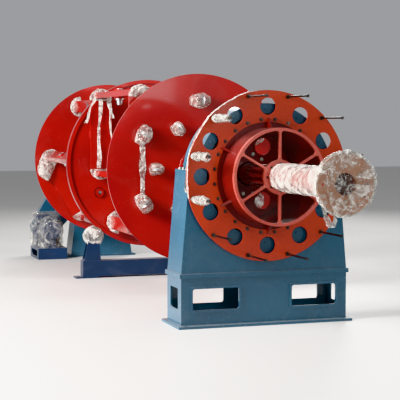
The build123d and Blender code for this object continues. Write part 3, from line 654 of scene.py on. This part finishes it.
def makeStandBolts():
    size = standBolts
    cap, ring = size["cap"], size["retainer"]
    uprightBolts("bearing_cap_bolts", 0, cap, cap["rows"], [axisHeight + cap["top"]])
    spots = boltRing(ring, onAxis(frontY("bearing_cap")), forward)
    spots += boltRing(ring, onAxis(rearY("bearing_cap")), rearward)
    boltsAt("bearing_ring_bolts", "root", spots, ring["head"], blueEnamel)
    rear, middle = size["rear base"], middleY("rear_bearing")
    rows = (middle - rear["row"], middle + rear["row"])
    uprightBolts("rear_bearing_bolts", 0, rear, rows, [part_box("rear_bearing")[0].z + rear["top"]])
    box, (low, high) = size["gearbox"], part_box("gearbox")
    centre = (low + high) / 2
    rows = [centre.y + y for y in box["rows"]]
    uprightBolts("gearbox_bolts", centre.x, box, rows, box["levels"])


def hullLine(circles, inset, spacing, arcSteps=24):  # round two circles and along their tangents
    (bigX, bigZ, bigR), (smallX, smallZ, smallR) = circles
    apart = Vector((smallX - bigX, smallZ - bigZ))
    heading, lean = math.atan2(apart.y, apart.x), math.acos((bigR - smallR) / apart.length)
    corners = []
    for x, z, radius, start, end in (
        (bigX, bigZ, bigR - inset, heading + lean, heading + 2 * math.pi - lean),
        (smallX, smallZ, smallR - inset, heading - lean, heading + lean),
    ):
        for step in range(arcSteps + 1):
            turn = start + (end - start) * step / arcSteps
            corners.append(Vector((x + radius * math.cos(turn), z + radius * math.sin(turn))))
    points, carried = [], 0.0
    for here, there in zip(corners, corners[1:] + corners[:1]):
        length = (there - here).length
        while carried < length:
            points.append(here.lerp(there, carried / length))
            carried += spacing
        carried -= length
    return points


def makeGuardScrews():
    low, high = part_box("drive_guard")
    motorLow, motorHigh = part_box("drive_motor")
    big = high.z - axisHeight
    small = (motorLow.x + motorHigh.x) / 2 - low.x
    circles = ((0, axisHeight, big), (low.x + small, low.z + small, small))
    screws = standBolts["guard"]
    points = hullLine(circles, screws["inset"], screws["spacing"])
    spots = [(Vector((point.x, high.y, point.y)), rearward) for point in points]
    boltsAt("drive_guard_screws", "root", spots, screws["head"])


makeStandBolts()
makeGuardScrews()

motorFins = {
    "count": 30, "height": 0.020, "width": 0.005, "length": 0.235, "radius": 0.125, "sunk": 0.004,
    "rear gap": 0.012,
    "lift": 0.260,  # the motor's axis above its foot
    "bare": {-90: 42, 90: 30},  # angles of the foot and the terminal box, and how far to each side
}


def makeMotorFins():
    low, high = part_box("drive_motor")
    size = motorFins
    middle = high.y - size["length"] / 2 - size["rear gap"]
    centre = Vector(((low.x + high.x) / 2, middle, low.z + size["lift"]))
    radius = size["radius"] + size["height"] / 2 - size["sunk"]
    spots = []
    for step in range(size["count"]):
        angle = -90 + 360 * (step + 0.5) / size["count"]
        if all(turnBetween(angle, towards) > half for towards, half in size["bare"].items()):
            place = roundSpot(centre, radius, angle)
            spots.append((place, place - centre))
    inputs = {
        "Fin Height": size["height"], "Fin Length": size["length"],
        "Fin Width": size["width"], "Finish": darkBlueEnamel,
    }
    bakeShape("motor_fins", spotMesh("motor_fins", spots), coolingFins, inputs, "root")


makeMotorFins()
print("bolts, screws and fins made")

weldSet = {
    "bead": 0.005, "pitch": 0.014,
    "steps": 72,  # in a circle
    "disc hub": 0.226, "disc half": 0.015, "drum": 0.466, "drum flange": 0.020, "tube": 0.111,
    "pedestal": (0.860, 0.225), "ledge": 0.020, "foot plate": 0.025, "rear foot": 0.460,
}
cornerTurns = ((-1, -1), (1, -1), (1, 1), (-1, 1))


class Lines:  # lines of edges that one bead each runs along
    def __init__(self):
        self.points = []
        self.edges = []

    def add(self, points, closed=True):
        start, count = len(self.points), len(points)
        self.points += points
        steps = range(count if closed else count - 1)
        self.edges += [(start + step, start + (step + 1) % count) for step in steps]

    def circle(self, centre, radius):
        count = weldSet["steps"]
        self.add([roundSpot(centre, radius, 360 * step / count) for step in range(count)])

    def weld(self, name, body, finish):
        mesh, size = plainMesh(name, self.points, self.edges), weldSet
        inputs = {"Bead Radius": size["bead"], "Ripple Pitch": size["pitch"], "Finish": finish}
        bakeShape(name, mesh, weldBeads, inputs, body)


def makeRotorWelds():
    lines, size = Lines(), weldSet
    for disc in ("front", "middle", "rear"):
        y = middleY(f"cage_disc_{disc}")
        for side in (-1, 1):
            lines.circle(onAxis(y + side * size["disc half"]), size["disc hub"])
    lines.circle(onAxis(rearY("filler_disc") + size["drum flange"]), size["drum"])
    lines.circle(onAxis(frontY("spoke_wheel")), size["tube"])
    lines.circle(onAxis(rearY("face_plate")), size["tube"])
    lines.weld("rotor_welds", "rotor", redEnamel)


def makeCradleWelds():
    size = cradleSize
    halfU, halfW = (value / 2 for value in size["beam"])
    for number in cradleNumbers:
        pivot, along, across = cradleAxes(number)
        lines = Lines()
        for end in (-1, 1):
            for side in (-1, 1):
                inner = rearward * end * (size["half length"] - size["end plate"])
                beam = pivot + along * side * size["beam centre"] + inner
                lines.add([beam + along * u * halfU + across * w * halfW for u, w in cornerTurns])
            lines.circle(pivot + rearward * end * size["half length"], size["boss"])
        lines.weld(f"cradle_{number}_welds", f"cradle_{number}", redEnamel)


def makeStandWelds():
    lines, size = Lines(), weldSet
    foot, (halfX, halfY) = size["foot plate"], size["pedestal"]
    for level in (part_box("front_stand")[0].z + size["ledge"], foot):
        lines.add([Vector((x * halfX, y * halfY, level)) for x, y in cornerTurns])
    for y in (frontY("rear_stand"), rearY("rear_stand")):
        lines.add([Vector((side * size["rear foot"], y, foot)) for side in (-1, 1)], closed=False)
    lines.weld("stand_welds", "root", blueEnamel)


makeRotorWelds()
makeCradleWelds()
makeStandWelds()
print("welds made")


# stretch film wound round parts of the machine
def crumple(name, mesh, body, finish, size, seed):  # folds may have a direction and a length
    inputs = {
        "Fold Depth": size["depth"],
        "Folds Per Metre": size["folds"],
        "Fold Direction": tuple(Vector(size.get("direction", rearward)).normalized()),
        "Fold Length": size.get("length", 1.0),
        "Seed": float(seed),
        "Finish": finish,
    }
    return bakeShape(name, mesh, crumpledFilm, inputs, body)


def turnedFilm(name, centreAt, profile, size, rng):  # profile: places along Y and radii
    points, faces, sides = [], [], size["sides"]
    for row, (y, radius) in enumerate(profile):
        for side in range(sides):
            spread = radius * (1 + size["wobble"] * rng.uniform(-1, 1))
            points.append(roundSpot(centreAt(y), spread, 360 * side / sides))
        if row:
            near, far = (row - 1) * sides, row * sides
            for side in range(sides):
                other = (side + 1) % sides
                faces.append((near + side, near + other, far + other, far + side))
    return plainMesh(name, points, faces=faces)


def evenProfile(stations, spacing):  # points along a line through the stations, evenly spaced
    points = []
    for (y0, r0), (y1, r1) in zip(stations, stations[1:]):
        count = max(1, round(math.hypot(y1 - y0, r1 - r0) / spacing))
        shares = [step / count for step in range(count)]
        points += [(y0 + (y1 - y0) * share, r0 + (r1 - r0) * share) for share in shares]
    return points + [stations[-1]]


def tightFilm(name, points, voxel, grow):  # film drawn tight over points
    mesh = bmesh.new()
    for point in points:
        mesh.verts.new(point)
    bmesh.ops.convex_hull(mesh, input=mesh.verts)
    inside = [vertex for vertex in mesh.verts if not vertex.link_faces]
    bmesh.ops.delete(mesh, geom=inside, context="VERTS")
    bmesh.ops.recalc_face_normals(mesh, faces=mesh.faces)
    data = bpy.data.meshes.new(name)
    mesh.to_mesh(data)
    mesh.free()
    holder = newObject(name, data)
    remesh = holder.modifiers.new("even", "REMESH")
    remesh.mode = "VOXEL"
    remesh.voxel_size = voxel
    smooth = holder.modifiers.new("soft", "SMOOTH")
    smooth.iterations = 3
    depsgraph = bpy.context.evaluated_depsgraph_get()
    even = bpy.data.meshes.new_from_object(holder.evaluated_get(depsgraph))
    bpy.data.objects.remove(holder)
    bpy.data.meshes.remove(data)
    for vertex in even.vertices:
        vertex.co += vertex.normal * grow
    return even


def wrapTight(name, points, body, finish, size, seed):
    crumple(name, tightFilm(name, points, size["voxel"], size["grow"]), body, finish, size, seed)


def nodePoints(*nodes):
    return [vertex.co.copy() for node in nodes for vertex in frame["nodes"][node].data.vertices]


lumpFilm = {"voxel": 0.011, "grow": 0.004, "depth": 0.013, "folds": 14.0}


def makeSheaveFilm():
    for ring, values in sheaveRings.items():
        points = nodePoints(f"{ring}_sheave_brackets", f"{ring}_sheaves")
        for step in range(sheaveCount):
            middle = values["first"] + 360 * step / sheaveCount
            near = []
            for point in points:
                angle = math.degrees(math.atan2(point.z - axisHeight, point.x))
                if turnBetween(angle, middle) < 180 / sheaveCount:
                    near.append(point)
            name = f"film_{ring}_sheave_{step + 1}"
            wrapTight(name, near, "rotor", clearFilm, lumpFilm, step + len(ring))


makeSheaveFilm()

tubeFilm = {"spacing": 0.012, "sides": 96, "wobble": 0.004, "depth": 0.016, "folds": 7.0}
# stations: a face, the distance from it, a round part, the share of its radius, and what is added
tubePieces = {
    "film_front_tube": {
        "finish": thinFilm, "direction": (0, 0.9, 0.4), "length": 3.0,
        "stations": (
            ("wheel front", -0.03, "tube", 1.0, 0.002),
            ("wheel front", -0.12, "tube", 1.0, 0.008),
            ("plate rear", 0.28, "tube", 1.0, 0.012),
            ("plate rear", 0.13, "tube", 1.0, 0.035),
            ("plate rear", 0.03, "plate", 0.80, 0.0),
            ("plate rear", 0.004, "plate", 0.97, 0.0),
        ),
    },
    "film_face_plate": {
        "finish": tautFilm, "direction": (0.8, 0, 0.6), "length": 2.5,
        "stations": (
            ("plate rear", 0.003, "plate", 0.93, 0.0),
            ("plate rear", 0.003, "plate", 1.0, 0.004),
            ("plate front", -0.006, "plate", 1.0, 0.006),
            ("plate front", -0.010, "plate", 0.75, 0.0),
            ("plate front", -0.012, "plate", 0.0, 0.006),
        ),
    },
}


def makeTubeFilm():
    faces = {"wheel front": frontY("spoke_wheel"), "plate front": frontY("face_plate")}
    faces["plate rear"] = rearY("face_plate")
    radii = {"tube": reachOf("front_tube"), "plate": reachOf("face_plate")}
    for name, piece in tubePieces.items():
        size, stations = {**tubeFilm, **piece}, []
        for face, off, part, share, more in size["stations"]:
            stations.append((faces[face] + off, radii[part] * share + more))
        profile = evenProfile(stations, size["spacing"])
        mesh = turnedFilm(name, onAxis, profile, size, random.Random(4))
        crumple(name, mesh, "rotor", size["finish"], size, seed=3)


makeTubeFilm()

rimRoll = {
    "thick": 0.014, "over rim": 0.008, "around": 10,
    "sides": 96, "wobble": 0.004, "depth": 0.009, "folds": 18.0,
}


def makeRimRoll():  # film rolled into a cord round the face plate's rim
    size, name = rimRoll, "film_plate_rim"
    middle, radius = middleY("face_plate"), reachOf("face_plate") + size["over rim"]
    profile = []
    for step in range(size["around"] + 1):
        turn = 2 * math.pi * step / size["around"]
        y, reach = middle - size["thick"] * math.cos(turn), radius + size["thick"] * math.sin(turn)
        profile.append((y, reach))
    mesh = turnedFilm(name, onAxis, profile, size, random.Random(7))
    crumple(name, mesh, "rotor", bunchedFilm, size, seed=12)


makeRimRoll()

pinFilm = {
    "angles": (135, 165, 195), "circle": 0.788,
    "start": ((-0.026, 0.002), (-0.030, 0.004)),  # from the pins' rear: distance and radius
    "lumps": 7, "lump length": 0.052, "thick": 0.014, "uneven": (0.6, 1.35),
    "end": ((0.050, 0.004), (0.044, 0.002)),  # from the pins' front: distance and radius
    "sag": 0.006, "spacing": 0.007, "sides": 20, "wobble": 0.22,
    "depth": 0.021, "folds": 26.0, "length": 1.4,
}


def makePinFilm():
    size = pinFilm
    for angle in size["angles"]:
        rng, name = random.Random(angle), f"film_pin_{angle}"
        stations = [(rearY("filler_pins") + off, radius) for off, radius in size["start"]]
        begin = stations[-1][0]
        for step in range(1, size["lumps"] + 1):
            radius = size["thick"] * rng.uniform(*size["uneven"])
            stations.append((begin - size["lump length"] * step, radius))
        stations += [(frontY("filler_pins") + off, radius) for off, radius in size["end"]]

        def centreAt(y):
            return roundSpot(onAxis(y), size["circle"], angle) - upward * size["sag"]

        mesh = turnedFilm(name, centreAt, evenProfile(stations, size["spacing"]), size, rng)
        crumple(name, mesh, "rotor", twistedFilm, size, angle)


makePinFilm()


ribbonWaves = {"waver": 0.25, "waves": ((7, 1.0), (19, 0.5))}  # a wave's pace and height


def ribbonMesh(name, line, across, size, rng):  # a strip of film along a line
    path, width, spacing = [], size["width"], size["spacing"]
    for here, there in zip(line, line[1:]):
        count = max(1, round((there - here).length / spacing))
        path += [here.lerp(there, step / count) for step in range(count)]
    path.append(line[-1])
    columns = max(3, round(width / spacing))
    waves = [(*wave, rng.uniform(0, 6.28)) for wave in ribbonWaves["waves"]]
    points, faces = [], []
    for row, place in enumerate(path):  # its width wavers in long and in short waves
        share = row / len(path)
        swell = sum(height * math.sin(pace * share + phase) for pace, height, phase in waves)
        wide = 1 + ribbonWaves["waver"] * swell
        for column in range(columns + 1):
            points.append(place + across * (column / columns - 0.5) * width * wide)
            if row and column:
                here = row * (columns + 1) + column
                faces.append((here, here - 1, here - columns - 2, here - columns - 1))
    return plainMesh(name, points, faces=faces)


def hangFilm(name, body, line, across, size, rng, seed):
    mesh = ribbonMesh(name, line, across, size, rng)
    piece = crumple(name, mesh, body, size["finish"], size, seed)
    area, width = sum(face.area for face in piece.data.polygons), size["width"]
    area / width


rimBand = {
    "first": 104, "last": 196, "step": 2,
    "pin": 105, "apart": 30,  # the first pin's angle, and the angle between pins
    "circle": 0.826, "before disc": 0.022, "sag": 0.012,
    "width": 0.040, "spacing": 0.007, "depth": 0.010, "folds": 24.0, "finish": bunchedFilm,
}


def makeRimBand():  # film drawn from pin to pin round the upper left of the filler disc
    size = rimBand
    centre = onAxis(frontY("filler_disc") - size["before disc"])
    line = []
    for angle in range(size["first"], size["last"], size["step"]):
        turn = math.radians(180 * (angle - size["pin"]) / size["apart"])
        sag = size["sag"] * abs(math.sin(turn))  # none on the pins
        line.append(roundSpot(centre, size["circle"] - sag, angle))
    rng, restsOn = random.Random(2), ["filler_disc", "filler_pins"]
    hangFilm("film_rim_band", "rotor", line, rearward, size, rng, 5)


makeRimBand()

discStrip = {
    "angles": (150, 210), "before disc": 0.012,
    "width": 0.060, "spacing": 0.010, "depth": 0.008, "folds": 16.0, "finish": woundFilm,
}


def makeDiscStrip():  # a strip that hangs on the front disc between two wrapped sheaves
    size = discStrip
    face = onAxis(rearY("outer_sheave_brackets") - size["before disc"])
    line = [roundSpot(face, sheaveRings["outer"]["circle"], angle) for angle in size["angles"]]
    rng, restsOn = random.Random(6), ["cage_disc_front"]
    hangFilm("film_disc_strip", "rotor", line, sideways, size, rng, 8)


makeDiscStrip()

strandFilm = {
    "spacing": 0.006, "depth": 0.008, "folds": 22.0, "finish": bunchedFilm,
    "direction": (0, 0, 1), "length": 3.0,
}
strands = {  # body, node, first place, steps down, width
    "plate_tail": (
        "rotor", "face_plate", (-0.20, -2.045, 1.29), ((0.02, 0, -0.09), (0.07, 0, -0.20)), 0.05,
    ),
    "plate_shred": (
        "rotor", "face_plate", (-0.10, -2.045, 1.22), ((0.01, 0, -0.07), (-0.01, 0, -0.13)), 0.03,
    ),
    "flange_shred": (
        "root", "front_stand", (-0.775, -0.215, 1.46), ((-0.03, 0, -0.06), (-0.02, 0, -0.16)), 0.04,
    ),
}


def hangStrand(name, body, node, start, steps, width):
    start, size = Vector(start), {**strandFilm, "width": width}
    line = [start] + [start + Vector(step) for step in steps]
    hangFilm(f"film_{name}", body, line, sideways, size, random.Random(name), len(name))


for name, strand in strands.items():
    hangStrand(name, *strand)


cradleFilm = {
    "pieces": (  # number, end along the plate, end plate (-1 front, 1 rear), how far it covers
        (2, 1, 1, 0.17), (2, -1, 1, 0.13), (2, 1, -1, 0.12), (4, -1, -1, 0.24), (4, -1, 1, 0.16),
        (5, -1, -1, 0.20), (5, 1, -1, 0.16), (5, -1, 1, 0.15), (3, -1, 1, 0.17), (3, -1, -1, 0.12),
        (3, 1, -1, 0.14), (1, 1, -1, 0.14), (6, -1, 1, 0.14), (5, 1, 1, 0.28),
    ),
    "voxel": 0.012, "grow": 0.003, "folds": 15.0,
    "depth": 0.008,  # thin, so that the end passes the shaft as the cradle turns
    "near plate": 0.03,  # a point this near to the end plate's middle counts as its own
    # slack film on one end: its outline along and across the end plate, and how far it stands off
    "bag": {
        "piece": (5, 1, 1),
        "outline": ((0.500, 0.06), (0.475, 0.15), (0.42, 0.21), (0.32, 0.25), (0.20, 0.20)),
        "outer": 0.012, "inner": 0.120,
    },
}


def bagPoints(pivot, along, across, end):
    bag, half, points = cradleFilm["bag"], cradleSize["half length"], []
    for u, w in bag["outline"]:
        for level in (half + bag["outer"], half - bag["inner"]):
            points.append(pivot + along * u + across * w + rearward * end * level)
    return points


def makeCradleFilm():
    size, plateMiddle = cradleFilm, cradleSize["end plate"] / 2
    for index, (number, side, end, cover) in enumerate(size["pieces"]):
        pivot, along, across = cradleAxes(number)
        bagged = (number, side, end) == size["bag"]["piece"]
        near = bagPoints(pivot, along * side, across, end) if bagged else []
        for point in nodePoints(f"cradle_{number}_frame"):
            off = point - pivot
            fromPlate = abs(off.y * end - cradleSize["half length"] + plateMiddle)
            covered = off.dot(along) * side > cradleSize["half reach"] - cover
            if covered and fromPlate < size["near plate"]:
                near.append(point)
        name = f"film_cradle_{number}_{index + 1}"
        wrapTight(name, near, f"cradle_{number}", woundFilm, size, index + 20)


makeCradleFilm()

cradleStrands = {  # from the wrapped upper end of cradle 2
    "cradle": 2,
    "end": 1,  # the rear end plate
    "below end": 0.06, "before plate": 0.012, "slack": -0.035, "sway": 0.012, "swing": 9,
    "shares": (0.08, 0.25, 0.45, 0.65, 0.85, 1.0),  # of the length, where the strand bends
    "strands": (  # offset to the right, length, lean to the right, width
        (-0.075, 0.36, -0.14, 0.035),
        (-0.02, 0.92, -0.03, 0.045),
        (0.05, 0.30, 0.09, 0.030),
        (0.09, 0.78, 0.05, 0.028),
    ),
}


def makeCradleStrands():
    size, cradle = cradleStrands, f"cradle_{cradleStrands['cradle']}"
    pivot, along, _ = cradleAxes(size["cradle"])
    if along.z < 0:
        along = -along
    inward = forward * (size["before plate"] + cradleSize["end plate"])
    out = rearward * size["end"] * cradleSize["half length"] + inward
    top = pivot + along * (cradleSize["half reach"] - size["below end"]) + out
    for index, (off, length, lean, width) in enumerate(size["strands"]):
        steps = []
        for share in size["shares"]:
            sway = size["sway"] * math.sin(size["swing"] * share)
            steps.append((lean * share + sway, size["slack"], -length * share))
        start = top + Vector((off, 0, 0))
        hangStrand(f"cradle_strand_{index + 1}", cradle, f"{cradle}_frame", start, steps, width)


makeCradleStrands()

driveFilm = {"voxel": 0.016, "grow": 0.010, "depth": 0.020, "folds": 8.0}
rollerFilm = {"voxel": 0.012, "grow": 0.006, "depth": 0.012, "folds": 12.0, "down": 0.16}


def makeBaseFilm():  # round the drive unit and over the left support roller
    for node, seed in (("gearbox", 3), ("drive_motor", 9)):
        wrapTight(f"film_{node}", nodePoints(node), "root", smokyFilm, driveFilm, seed)
    points = nodePoints("roller_bracket_left")
    top = max(point.z for point in points) - rollerFilm["down"]
    points = [point for point in points if point.z > top] + nodePoints("support_roller_left")
    wrapTight("film_left_roller", points, "root", woundFilm, rollerFilm, seed=31)


makeBaseFilm()
print("film made")


# floor, lights and surroundings
floorSet = {
    "half": 40, "mottle": 0.6, "rough": 0.5,
    "colour": (0.66, 0.65, 0.63), "shade": (0.60, 0.59, 0.57),
}


def makeStage():
    size = floorSet
    corners = [(x * size["half"], y * size["half"], 0) for x, y in cornerTurns]
    floor = newObject("floor", plainMesh("floor", corners, faces=[(0, 1, 2, 3)]))
    material, tree, place = startFinish("pale floor")
    mottle = tree.noise(place, size["mottle"])
    tint = tree.mixColour(mottle, (*size["shade"], 1), (*size["colour"], 1))
    endFinish(tree, {"Roughness": size["rough"], "Base Color": tint})
    floor.data.materials.append(material)


lightSet = {
    "left key": {"place": (-9.0, -0.8, 5.2), "size": 3.5, "power": 2450},
    "front fill": {"place": (1.5, -12.0, 4.5), "size": 5.0, "power": 220},
    "right fill": {"place": (9.0, -1.0, 5.0), "size": 5.0, "power": 450},
    "back rim": {"place": (5.0, 12.0, 7.0), "size": 5.0, "power": 600},
}
lightAim = (0, 1.5, 1.0)
skyLight = {"colour": (0.88, 0.89, 0.92, 1), "strength": 0.42}


def makeLights():
    for name, values in lightSet.items():
        data = bpy.data.lights.new(name, "AREA")
        data.size = values["size"]
        data.energy = values["power"]
        lookAt(newObject(name, data), values["place"], lightAim)
    world = bpy.data.worlds.new("surroundings")
    world.use_nodes = True
    inputs = world.node_tree.nodes["Background"].inputs
    inputs["Color"].default_value = skyLight["colour"]
    inputs["Strength"].default_value = skyLight["strength"]
    bpy.context.scene.world = world
    bpy.context.scene.view_settings.view_transform = "Khronos PBR Neutral"


makeStage()
makeLights()

print("scene ready")
